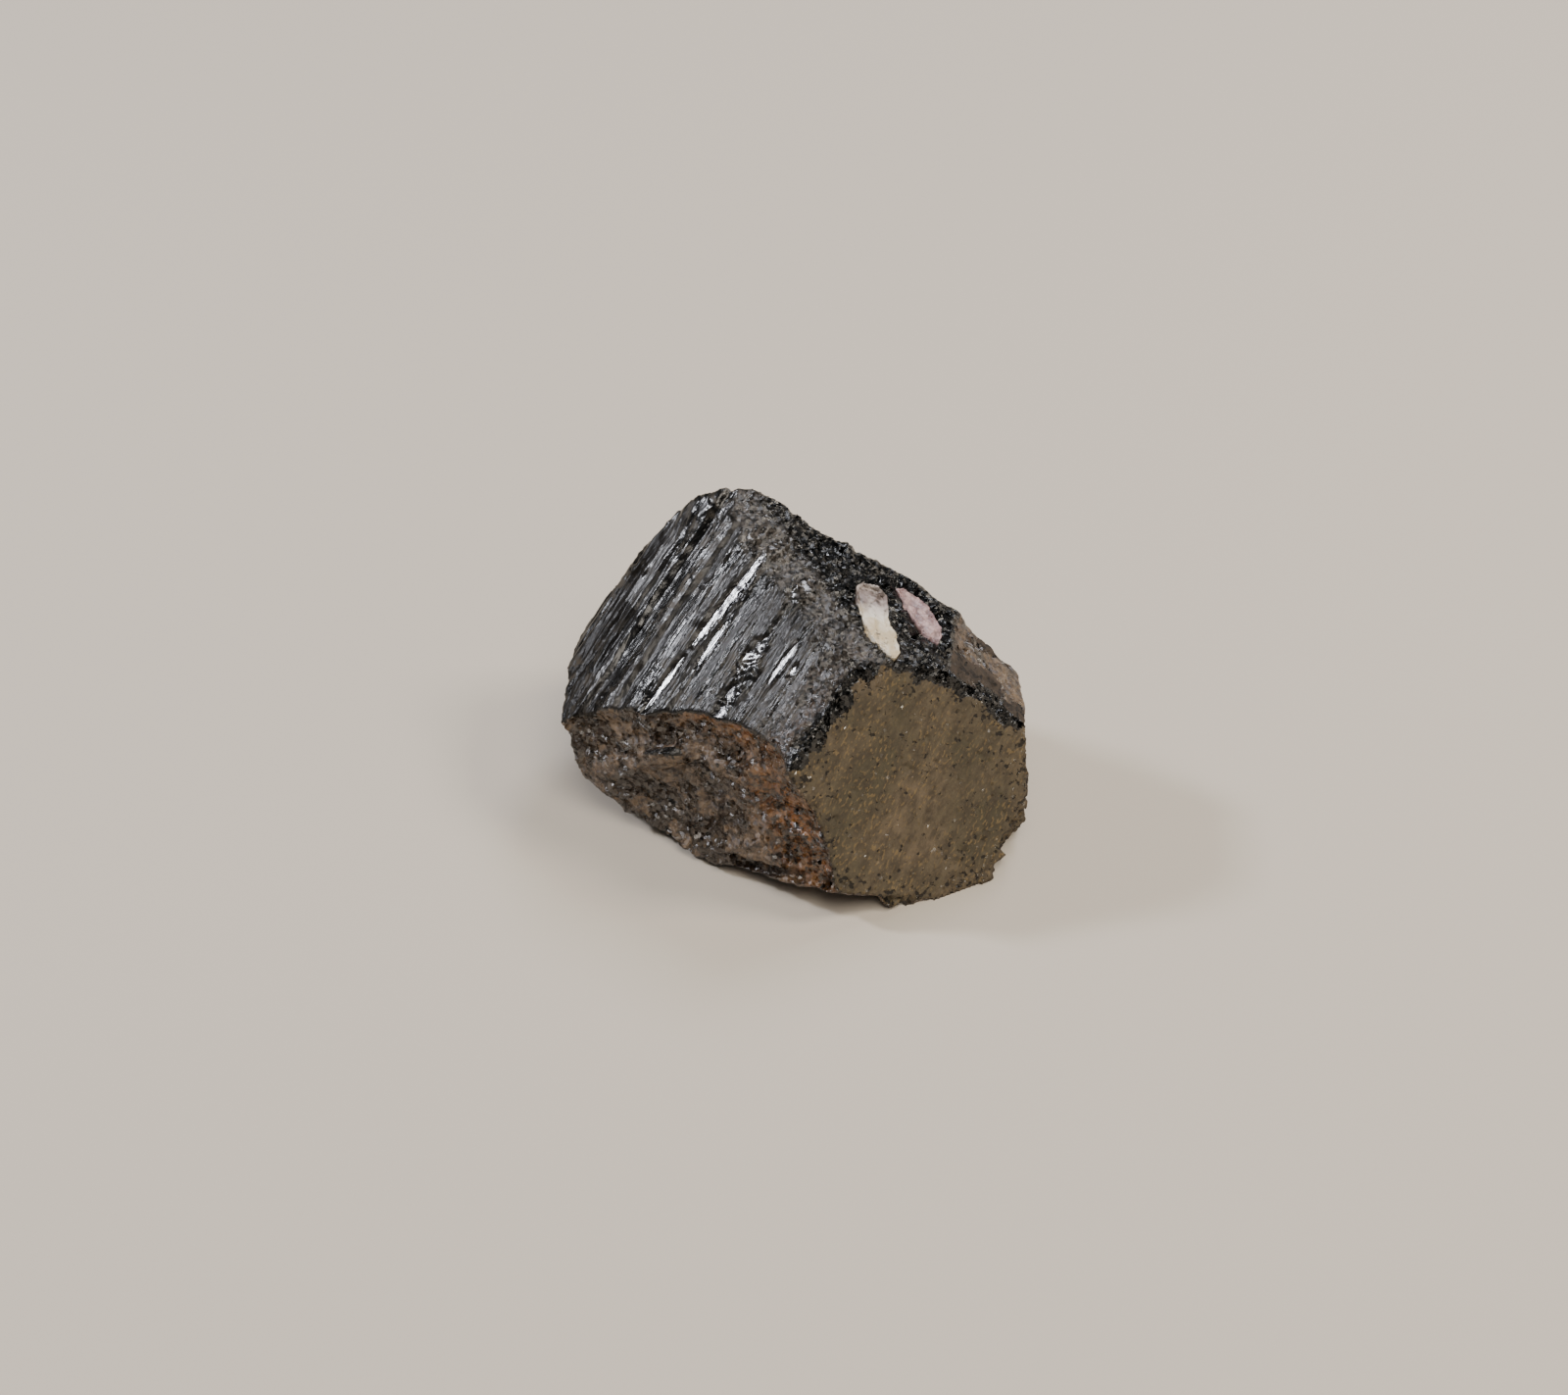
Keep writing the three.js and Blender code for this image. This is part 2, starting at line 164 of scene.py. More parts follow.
# The crystal's shape
# One grown crystal of stibiotantalite: striated prism faces, one broad flat face, a broken side.
# The solid gives the faces; the fine striations, chips and pits are pushed into a closer mesh.
#
# The faces are planes that stand off from the core, given by a turn round the prism axis and a reach,
# or by azimuth, elevation and reach, in degrees and millimetres.
CORE = np.array([-0.084, -1.293, 10.0])
PRISM_AXIS = (-44, -37)
PRISM_FACES = {
    "outer_left": (58, 16.4),
    "left": (38, 13.3),
    "upper_left": (17, 9.15),
    "bright_crease": (7, 8.0),
    "front": (-3, 6.9),
    "flat_end": (-59, 9.15),
}
OTHER_FACES = {
    "rough_bevel": (36, 78.5, 8.85),
    "fracture": (-31, 4, 9.05),
    "glitter_top": (91, 68, 9.45),
    "right_bevel": (86, 47.5, 11.95),
    "right_side": (93.5, 0.5, 17.3),
    "right_under": (63.5, -29.5, 19.5),
    "back": (176, 14.5, 14.25),
    "back_right": (147, 17, 11.5),
    "back_left": (-150, 4, 15.9),
    "back_corner": (125, -12, 15.6),
    "left_under": (-104, -23, 16.45),
    "fracture_under": (-50, -34, 14.45),
    "front_under": (-14, -54, 12.85),
    "back_under": (150, -42, 13.2),
    "back_left_under": (-140, -42, 14.0),
    "rest": (0, -90, 10.0),
}

GRAIN_MM = 0.195


def towards(azimuth, elevation):
    """The unit direction of an azimuth and elevation in degrees; azimuth 0 is the viewer's."""
    turn, rise = math.radians(azimuth), math.radians(elevation)
    return np.array([math.cos(rise) * math.sin(turn), -math.cos(rise) * math.cos(turn), math.sin(rise)])


prism_axis = towards(*PRISM_AXIS)
topmost = np.array([0.0, 0.0, 1.0]) - prism_axis[2] * prism_axis
topmost /= np.linalg.norm(topmost)
leftmost = np.cross(prism_axis, topmost)
face_planes = {
    name: (math.cos(math.radians(turn)) * topmost + math.sin(math.radians(turn)) * leftmost, reach)
    for name, (turn, reach) in PRISM_FACES.items()
}
face_planes.update({
    name: (towards(azimuth, elevation), reach)
    for name, (azimuth, elevation, reach) in OTHER_FACES.items()
})
face_names = list(face_planes)


def face_frame(name):
    """A face's foot point, its level direction, its upward direction and its normal."""
    normal, reach = face_planes[name]
    across = np.cross([0.0, 0.0, 1.0], normal)
    across /= np.linalg.norm(across)
    return CORE + normal * reach, across, np.cross(normal, across), normal


def close_mesh(node, grain):
    """A copy of a solid's mesh, made again with even small faces of one grain size."""
    mesh = node.data.copy()
    work = bmesh.new()
    work.from_mesh(mesh)
    bmesh.ops.remove_doubles(work, verts=work.verts, dist=0.001 * MM)
    work.to_mesh(mesh)
    work.free()
    rough = bpy.data.objects.new("rough_" + node.name, mesh)
    scene.collection.objects.link(rough)
    remesh = rough.modifiers.new("even", "REMESH")
    remesh.mode = "VOXEL"
    remesh.voxel_size = grain * MM
    even = bpy.data.meshes.new_from_object(rough.evaluated_get(bpy.context.evaluated_depsgraph_get()))
    bpy.data.objects.remove(rough)
    even.materials.clear()
    return even


def corners_mm(mesh):
    """The mesh's vertices in millimetres, as rows."""
    flat = np.empty(len(mesh.vertices) * 3)
    mesh.vertices.foreach_get("co", flat)
    return flat.reshape(-1, 3) / MM


def corner_normals(mesh):
    """The mesh's vertex normals, as rows."""
    flat = np.empty(len(mesh.vertices) * 3, np.float32)
    mesh.vertex_normals.foreach_get("vector", flat)
    return flat.reshape(-1, 3).astype(float)


def edge_ends(mesh):
    """The two vertices of every edge, as rows."""
    pairs = np.empty(len(mesh.edges) * 2, int)
    mesh.edges.foreach_get("vertices", pairs)
    return pairs.reshape(-1, 2)


def spread(values, pairs, rounds):
    """Values at the vertices, evened out along the mesh's edges a number of times."""
    count = np.bincount(pairs.ravel(), minlength=len(values))[:, None]
    for _ in range(rounds):
        total = np.zeros_like(values)
        for column in range(values.shape[1]):
            total[:, column] = (
                np.bincount(pairs[:, 0], values[pairs[:, 1], column], len(values))
                + np.bincount(pairs[:, 1], values[pairs[:, 0], column], len(values)))
        values = 0.5 * values + 0.5 * total / np.maximum(count, 1)
    return values


def noise(points, seed):
    """Smooth noise between -1 and 1, one swell to each unit."""
    repeat = 64
    table = np.random.default_rng(seed).uniform(-1, 1, (repeat, repeat, repeat))
    cell = np.floor(points).astype(int)
    part = points - cell
    part = part * part * (3 - 2 * part)
    total = np.zeros(len(points))
    for corner in itertools.product((0, 1), repeat=3):
        at = (cell + np.array(corner)) % repeat
        share = np.where(np.array(corner) == 1, part, 1 - part).prod(axis=1)
        total += share * table[at[:, 0], at[:, 1], at[:, 2]]
    return total


def rough_noise(points, seed, octaves=4):
    """Noise with ever finer and weaker noise on it."""
    return sum(noise(points * 2 ** step, seed + step) / 2 ** step for step in range(octaves))


def ridges(points, seed, octaves=3):
    """Noise folded over so that it rises to sharp ridges, from 0 to about 1."""
    return sum((1 - np.abs(noise(points * 2 ** step, seed + step)) * 2) / 2 ** step
               for step in range(octaves)) / 2


def facets(points, size, seed):
    """Hackly facets: each point's height on the flat chip of the nearest scattered centre."""
    repeat = 32
    chip_tilt = 1.6
    chip_step = 0.7
    scaled = points / size
    cell = np.floor(scaled).astype(int)
    table = np.random.default_rng(seed).uniform(0, 1, (repeat, repeat, repeat, 7))
    best = np.full(len(points), np.inf)
    height = np.zeros(len(points))
    for step in itertools.product((-1, 0, 1), repeat=3):
        at = cell + np.array(step)
        dice = table[at[:, 0] % repeat, at[:, 1] % repeat, at[:, 2] % repeat]
        offset = scaled - (at + dice[:, :3])
        away = (offset ** 2).sum(axis=1)
        nearer = away < best
        best = np.where(nearer, away, best)
        tilt = ((dice[:, 3:6] - 0.5) * offset).sum(axis=1)
        height = np.where(nearer, tilt * chip_tilt + (dice[:, 6] - 0.5) * chip_step, height)
    return height


def step_up(values, low, high):
    """0 below low, 1 above high, and a smooth rise between."""
    share = np.clip((values - low) / (high - low), 0, 1)
    return share * share * (3 - 2 * share)


crystal_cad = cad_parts["stibiotantalite_crystal"]
crystal_mesh = close_mesh(crystal_cad, GRAIN_MM)
place = corners_mm(crystal_mesh)
edge_pairs = edge_ends(crystal_mesh)
NORMAL_ROUNDS = 10
outward = spread(corner_normals(crystal_mesh), edge_pairs, NORMAL_ROUNDS)
outward /= np.linalg.norm(outward, axis=1)[:, None]

# How near every vertex lies to each face, and so which kinds of surface it shares in. Faces give
# way to each other along ragged lines, over a narrow blend.
INSET_WEIGHT = 0.6
FACING_WEIGHT = 4
RAGGED_WEIGHT = 0.22
RAGGED_MM = 0.9
BLEND = 0.16
face_normals = np.stack([face_planes[n][0] for n in face_names])
face_reaches = np.array([face_planes[n][1] for n in face_names])
inset = (place - CORE) @ face_normals.T - face_reaches
ragged = np.stack([rough_noise(place / RAGGED_MM, 500 + 11 * i, 2) for i in range(len(face_names))], 1)
facing = outward @ face_normals.T - 1
closeness = INSET_WEIGHT * inset + FACING_WEIGHT * facing + RAGGED_WEIGHT * ragged
belonging = np.exp((closeness - closeness.max(axis=1, keepdims=True)) / BLEND)
belonging = spread(belonging / belonging.sum(axis=1)[:, None], edge_pairs, 2)

# A rim is where two faces that meet at a real corner are both near.
near_order = np.argsort(inset, axis=1)
nearest, second = near_order[:, -1], near_order[:, -2]
rows = np.arange(len(place))
rim_distance = inset[rows, nearest] - inset[rows, second]
corner_sharpness = 1 - (face_normals[nearest] * face_normals[second]).sum(axis=1)


def share_of(*names):
    """How much of each vertex belongs to these faces, from 0 to 1."""
    return belonging[:, [face_names.index(n) for n in names]].sum(axis=1)


striated = share_of("outer_left", "left", "upper_left", "bright_crease", "front", "back_left")
bevel = share_of("rough_bevel")
flat_end = share_of("flat_end")
broken = share_of("fracture", "fracture_under", "front_under", "left_under")
glitter = share_of("glitter_top")
right_bevel = share_of("right_bevel")
hidden = share_of("right_side", "right_under", "back", "back_right", "back_corner", "back_under",
                  "back_left_under", "rest")

# The crystal's own directions: along the striations, round them, and out from the middle.
from_core = place - CORE
along = from_core @ prism_axis
around_angle = np.arctan2(from_core @ leftmost, from_core @ topmost)
STRIATION_RADIUS_MM = 9.0
around = around_angle * STRIATION_RADIUS_MM


def growth_places(run_mm, apart_mm, layer=0.0):
    """Places for noise drawn out along the striations, with swells this long and this far apart."""
    return np.stack([along / run_mm, around / apart_mm, np.full_like(along, layer)], 1)


# Striations grow as steps that run the whole face, fade in and out, and crowd in bundles. Where they
# are worn they are lower, with scabs of crust on them. Heights are in millimetres.
BUNDLE_HEIGHT = 0.13
LINE_HEIGHT = 0.17
HAIR_HEIGHT = 0.05
SCAB_HEIGHT = 0.22
SCAB_LEVEL = 0.35
bundles = noise(growth_places(16, 1.3, 0.5), 101) * BUNDLE_HEIGHT
lines = ridges(growth_places(11, 0.62), 111, 2) * LINE_HEIGHT
hairs = noise(growth_places(5, 0.26), 121) * HAIR_HEIGHT
worn = step_up(rough_noise(place / 4.5, 131, 3), -0.5, 0.6)
scabs = np.maximum(rough_noise(place / 1.1, 141, 3) - SCAB_LEVEL, 0) * SCAB_HEIGHT
striated_height = bundles + (lines + hairs) * (0.45 + 0.55 * worn) + scabs * (1 - worn)

# The flat end's own directions, turned so that the first runs up to the right, as its fine streaks do.
STREAK_TURN_DEG = 48
flat_foot, flat_across, flat_upward, _ = face_frame("flat_end")
streak_turn = math.radians(STREAK_TURN_DEG)
flat_level = (place - flat_foot) @ flat_across
flat_rise = (place - flat_foot) @ flat_upward
streak_along = flat_level * math.cos(streak_turn) + flat_rise * math.sin(streak_turn)
streak_across = flat_rise * math.cos(streak_turn) - flat_level * math.sin(streak_turn)

# Towards the flat end and the rough bevel the striations break up into a fine grey grain, and the
# last two millimetres before the lower part of the flat end are dark crumbs mixed with brown ground.
# Both set in over these distances from the face, in millimetres.
GRAINY_AT_FLAT_END = (-4.6, -1.2)
GRAINY_AT_BEVEL = (-0.4, 0.1)
CRUMBLING_AT_FLAT_END = (-2.4, -0.9)
GRAINY_SHARE = 0.8
from_flat_end = inset[:, face_names.index("flat_end")]
to_flat_end = from_flat_end + 1.2 * rough_noise(place / 1.6, 146, 3)
to_bevel = inset[:, face_names.index("rough_bevel")] + 0.35 * rough_noise(place / 1.4, 148, 3)
lined = striated
grainy = np.maximum(step_up(to_flat_end, *GRAINY_AT_FLAT_END), step_up(to_bevel, *GRAINY_AT_BEVEL))
grainy = grainy * striated
bevel = bevel + GRAINY_SHARE * grainy
striated = striated - GRAINY_SHARE * grainy
crumbly_edge = from_flat_end + 0.7 * rough_noise(place / 0.9, 149, 3)
crumbling = step_up(crumbly_edge, *CRUMBLING_AT_FLAT_END) * (lined + bevel)
crumbling = np.clip(crumbling, 0, 1) * (1 - 0.7 * step_up(flat_rise, 0, 5))

# Clean glassy steps in the striated front, each turned a little to the left: where each lies across
# the front, where it begins and ends along it, how wide it is, in millimetres, and how it slants.
BRIGHT_STEPS = [
    (-5.85, -10.2, 0.9, 0.8, -0.09), (-5.9, 1.5, 6.8, 0.62, -0.06), (-4.65, -2.4, 1.9, 0.58, -0.04),
    (-7.2, -10.0, -8.1, 1.0, -0.04), (-1.3, -8.5, -6.0, 1.5, -0.03), (-1.15, -2.9, -0.9, 1.15, -0.03),
    (-1.25, -1.4, 0.8, 1.6, -0.03), (-0.9, 1.2, 2.8, 1.5, -0.03), (-0.8, 3.0, 4.6, 1.2, -0.03),
    (1.0, -3.9, 0.1, 0.58, -0.1), (2.2, -2.4, -1.2, 0.7, -0.04),
]
STEP_LEVEL_MM = -0.12
STEP_SLOPE = math.tan(math.radians(10))
STEP_END_MM = 0.25
STRAIGHT_UP_TO_MM = 0.62
across_front = from_core @ np.cross(face_planes["front"][0], prism_axis)
polished = np.zeros(len(place))
step_height = np.zeros(len(place))
flattened = np.zeros(len(place))
for middle, first, last, width, slant in BRIGHT_STEPS:
    wander = 0.1 * noise(np.stack([along / 2.5, across_front * 0, along * 0 + middle], 1), 166)
    wander += 0.4 * max(width - STRAIGHT_UP_TO_MM, 0) * noise(place / 0.4, 168)
    taper = 0.6 + 0.4 * step_up(np.minimum(along - first, last - along), -0.2, 1.6)
    share = (across_front + wander - middle - slant * along) / (width * taper)
    begun = step_up(along, first - STEP_END_MM, first + STEP_END_MM)
    ended = step_up(along, last - STEP_END_MM, last + STEP_END_MM)
    run = begun * (1 - ended)
    polished = np.maximum(polished, (1 - step_up(np.abs(share), 0.35, 0.65)) * run)
    near_step = (1 - step_up(np.abs(share), 0.55, 0.8)) * run
    step_height = np.where(near_step > 0, STEP_SLOPE * width * share, step_height)
    flattened = np.maximum(flattened, near_step)
glassy_reach = np.clip(lined + 0.9 * share_of("rough_bevel"), 0, 1)
polished *= glassy_reach
flattened *= glassy_reach

# The reliefs of the other surfaces are sums of lumps, chips and ridges. Each has a width that places
# are divided by and a height that it is multiplied by, both in millimetres.
#
# The rough bevel: short broken striation ends, grainy as a file.
bevel_height = rough_noise(place / 1.3, 151, 4) * 0.10 + ridges(growth_places(3, 0.8), 161, 2) * 0.12

# The break: ripples and splinters that climb to the right, and fine grain between them.
RIPPLE_TURN_DEG = 26
fracture_foot, fracture_across, fracture_up, _ = face_frame("fracture")
level = (place - fracture_foot) @ fracture_across
upward = (place - fracture_foot) @ fracture_up
ripple_turn = math.radians(RIPPLE_TURN_DEG)
ripple_along = level * math.cos(ripple_turn) + upward * math.sin(ripple_turn)
ripple_up = upward * math.cos(ripple_turn) - level * math.sin(ripple_turn)
splinters = ridges(np.stack([ripple_along / 4.2, ripple_up / 1.15, along * 0], 1), 171, 3) * 0.30
broken_height = (splinters - 0.16 + rough_noise(place / 1.6, 181, 4) * 0.16
                 + facets(place, 0.9, 191) * 0.10)

# The broad flat end: nearly plane, gently swelling, with a dust of pits.
PIT_LEVEL = 0.72
PIT_DEPTH = 0.5
pit_spots = rough_noise(place / 0.75, 201, 2)
flat_height = rough_noise(place / 5, 211, 3) * 0.06 - np.maximum(pit_spots - PIT_LEVEL, 0) * PIT_DEPTH
flat_height += rough_noise(place / 0.6, 221, 2) * 0.018

# The glittery top right: chips of cleavage at every angle.
glitter_height = facets(place, 1.5, 231) * 0.15 + facets(place, 0.62, 241) * 0.12 + 0.14
glitter_height += rough_noise(place / 3, 251, 2) * 0.08

# Weathered sides: softer lumps with a granular skin.
weathered_height = (rough_noise(place / 2.4, 261, 4) * 0.24 + facets(place, 1.9, 271) * 0.26
                    + facets(place, 0.8, 273) * 0.12 + ridges(place / 3.2, 281, 2) * 0.26 - 0.2)

# Every rim is chipped, those of the flat end most of all.
RIM_MM = 0.9
FLAT_END_RIM_MM = 0.5
RIM_DEPTH = 0.18
FLAT_END_RIM_DEPTH = 0.24
ragged_rim = rim_distance + 0.6 * rough_noise(place / 1.1, 286, 3)
rim = 1 - step_up(ragged_rim, 0.1, RIM_MM + FLAT_END_RIM_MM * flat_end)
rim = rim * step_up(corner_sharpness, 0.08, 0.3)
rim_height = -np.abs(facets(place, 0.8, 291)) * (RIM_DEPTH + FLAT_END_RIM_DEPTH * flat_end)

# The rims that glitter are those between the flat end and the faces above it.
upper_names = ("flat_end", "glitter_top", "right_bevel", "rough_bevel", "front")
upper_faces = [face_names.index(n) for n in upper_names]
bright_rim = rim * (np.isin(nearest, upper_faces) & np.isin(second, upper_faces))
bright_rim = spread(bright_rim[:, None], edge_pairs, 2)[:, 0]

height = (striated * striated_height + bevel * bevel_height + broken * broken_height
          + flat_end * flat_height + glitter * glitter_height
          + right_bevel * (0.45 * weathered_height) + hidden * weathered_height)
height += rim * rim_height * (0.35 + 0.65 * step_up(rough_noise(place / 2.5, 301, 2), -0.3, 0.5))

# The top left corner and the ridge to the right of it swell a little: where, how wide, how high.
FULLER_SPOTS = [
    ((-6.8, 10.6, 20.0), 2.0, 0.45), ((-0.7, 8.9, 20.2), 1.6, 0.25),
    ((3.7, 6.8, 18.2), 1.9, 0.35), ((8.7, 4.6, 16.0), 1.9, 0.25),
]
for spot, width, rise in FULLER_SPOTS:
    height += rise * np.exp(-((place - spot) ** 2).sum(axis=1) / width ** 2)

low_mm = np.array(cad_low) / MM
high_mm = np.array(cad_high) / MM
moved = place + outward * height[:, None]

# The front's grooves are half healed, and its glassy steps are flat.
HEALED_SHARE = 0.45
MOST_MOVED_MM = 0.5
front_normal, front_reach = face_planes["front"]
off_front = (moved - CORE) @ front_normal - front_reach
healed = HEALED_SHARE * share_of("front") * (1 - flattened)
to_move = healed * (STEP_LEVEL_MM - off_front) + flattened * (STEP_LEVEL_MM + step_height - off_front)
moved += front_normal * np.clip(to_move, -MOST_MOVED_MM, MOST_MOVED_MM)[:, None]

# The rest spot stays as it is, and nothing else comes down to the table.
TABLE_CONTACT_MM = 0.03
LOWEST_FREE_MM = 0.05
on_table = place[:, 2] < TABLE_CONTACT_MM
moved[on_table] = place[on_table]
moved[~on_table, 2] = np.maximum(moved[~on_table, 2], np.minimum(place[~on_table, 2], LOWEST_FREE_MM))
moved = np.clip(moved, low_mm, high_mm)
crystal_mesh.vertices.foreach_set("co", (moved * MM).ravel())
crystal_mesh.update()


def keep_on_vertices(mesh, name, values):
    """A number, or a row of three, kept at every vertex under a name that a material can read."""
    kind = "FLOAT" if values.ndim == 1 else "FLOAT_VECTOR"
    layer = mesh.attributes.new(name, kind, "POINT")
    layer.data.foreach_set("value" if values.ndim == 1 else "vector", values.astype(np.float32).ravel())


# Rusty brown ground: in the hollow beside the flat end, and in patches along the top of the break.
# Both are ovals on the break: where their middles lie, their half widths and half heights.
RUST_TURN_DEG = 34
HOLLOW_MIDDLE = (4.8, -3.0)
HOLLOW_HALF = (2.4, 6.0)
TOP_MIDDLE = (-0.6, 2.4)
TOP_HALF = (6.0, 1.5)
rust_turn = math.radians(RUST_TURN_DEG)
hollow_level = level - HOLLOW_MIDDLE[0]
hollow_up = upward - HOLLOW_MIDDLE[1]
rust_level = hollow_level * math.cos(rust_turn) + hollow_up * math.sin(rust_turn)
rust_up = hollow_up * math.cos(rust_turn) - hollow_level * math.sin(rust_turn)
rust = np.exp(-((rust_level / HOLLOW_HALF[0]) ** 2 + (rust_up / HOLLOW_HALF[1]) ** 2))
top_away = ((level - TOP_MIDDLE[0]) / TOP_HALF[0]) ** 2 + ((upward - TOP_MIDDLE[1]) / TOP_HALF[1]) ** 2
rust = np.maximum(rust, 0.9 * np.exp(-top_away))
rust = np.clip(rust * (0.85 + 0.6 * rough_noise(place / 1.3, 361, 3)), 0, 1)

# The lower right of the glittering top is crusted over, and so flashes less.
CRUSTED_SHARE = 0.6
glitter_foot, glitter_across, _, _ = face_frame("glitter_top")
crusted = CRUSTED_SHARE * (1 - step_up((place - glitter_foot) @ glitter_across, -3.0, 0.5))

keep_on_vertices(crystal_mesh, "striated", striated)
keep_on_vertices(crystal_mesh, "bevel", bevel)
keep_on_vertices(crystal_mesh, "crumbling", crumbling)
keep_on_vertices(crystal_mesh, "polished", polished)
keep_on_vertices(crystal_mesh, "glitter", np.clip(glitter * (1 - crusted) + bright_rim, 0, 1))
keep_on_vertices(crystal_mesh, "flat_end", flat_end)
keep_on_vertices(crystal_mesh, "rust", rust * broken)
keep_on_vertices(crystal_mesh, "rim", rim)
keep_on_vertices(crystal_mesh, "near_edge", 1 - step_up(ragged_rim, 0.3, 2.4))
keep_on_vertices(crystal_mesh, "upper_left", step_up(streak_across, 0.5, 7.5))
keep_on_vertices(crystal_mesh, "streak_mm", np.stack([streak_along, streak_across, from_flat_end], 1))
out_from_core = np.linalg.norm(from_core, axis=1)
keep_on_vertices(crystal_mesh, "grain_mm", np.stack([along, around, out_from_core], 1))


# The crystal's finish
# Clean stibiotantalite has an index of about 2.4, nearly diamond's: a near-black body flashes white
# wherever a striation or a chip turns to the light. This crystal has dulled, so the indexes below
# are matched to what shows.
def mm_coordinates(tree):
    """Places on the piece in millimetres: a pattern's scale is then one over its real width."""
    where = add_node(tree, "ShaderNodeTexCoord").outputs["Object"]
    return add_node(tree, "ShaderNodeVectorMath", {0: where, "Scale": 1 / MM}, operation="SCALE")


def tipped(tree, normal, chip_colour, tilt):
    """A surface direction tipped another way on every chip, so that single chips flash."""
    lean = add_node(tree, "ShaderNodeVectorMath", {
        0: chip_colour, 1: (2, 2, 2), 2: (-1, -1, -1)}, operation="MULTIPLY_ADD")
    lean = add_node(tree, "ShaderNodeVectorMath", {0: lean, "Scale": tilt}, operation="SCALE")
    total = add_node(tree, "ShaderNodeVectorMath", {0: normal, 1: lean}, operation="ADD")
    return add_node(tree, "ShaderNodeVectorMath", {0: total}, operation="NORMALIZE")


